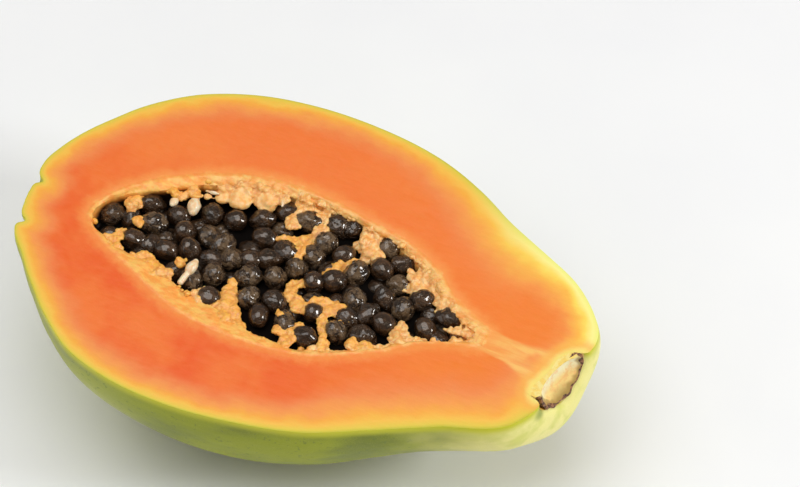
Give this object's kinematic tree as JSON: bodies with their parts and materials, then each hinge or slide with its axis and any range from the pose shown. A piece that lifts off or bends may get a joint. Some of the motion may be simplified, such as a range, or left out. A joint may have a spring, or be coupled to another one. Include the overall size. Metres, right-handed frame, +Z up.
{
  "type": "papaya half",
  "caption": "Half of a ripe papaya cut lengthwise, with orange flesh, a green skin and black seeds in its open cavity.",
  "frame": {"origin": "middle of the small flat spot on the skin that the half fruit rests on, under its centre of mass", "axes": "+Z up, out of the cut face; +X from the blossom end to the stalk end; +Y to the fuller side of the fruit"},
  "size_m": [0.1566, 0.1035, 0.0545],
  "materials": {
    "flesh": "satin orange flesh under a thin green and yellow skin",
    "seed": "glossy black-brown wet seed coats",
    "stalk": "dry brown cork"
  },
  "bodies": {
    "root": {"fruit_half": "flesh", "seeds": "seed", "stalk_scar": "stalk"}
  },
  "joints": []
}
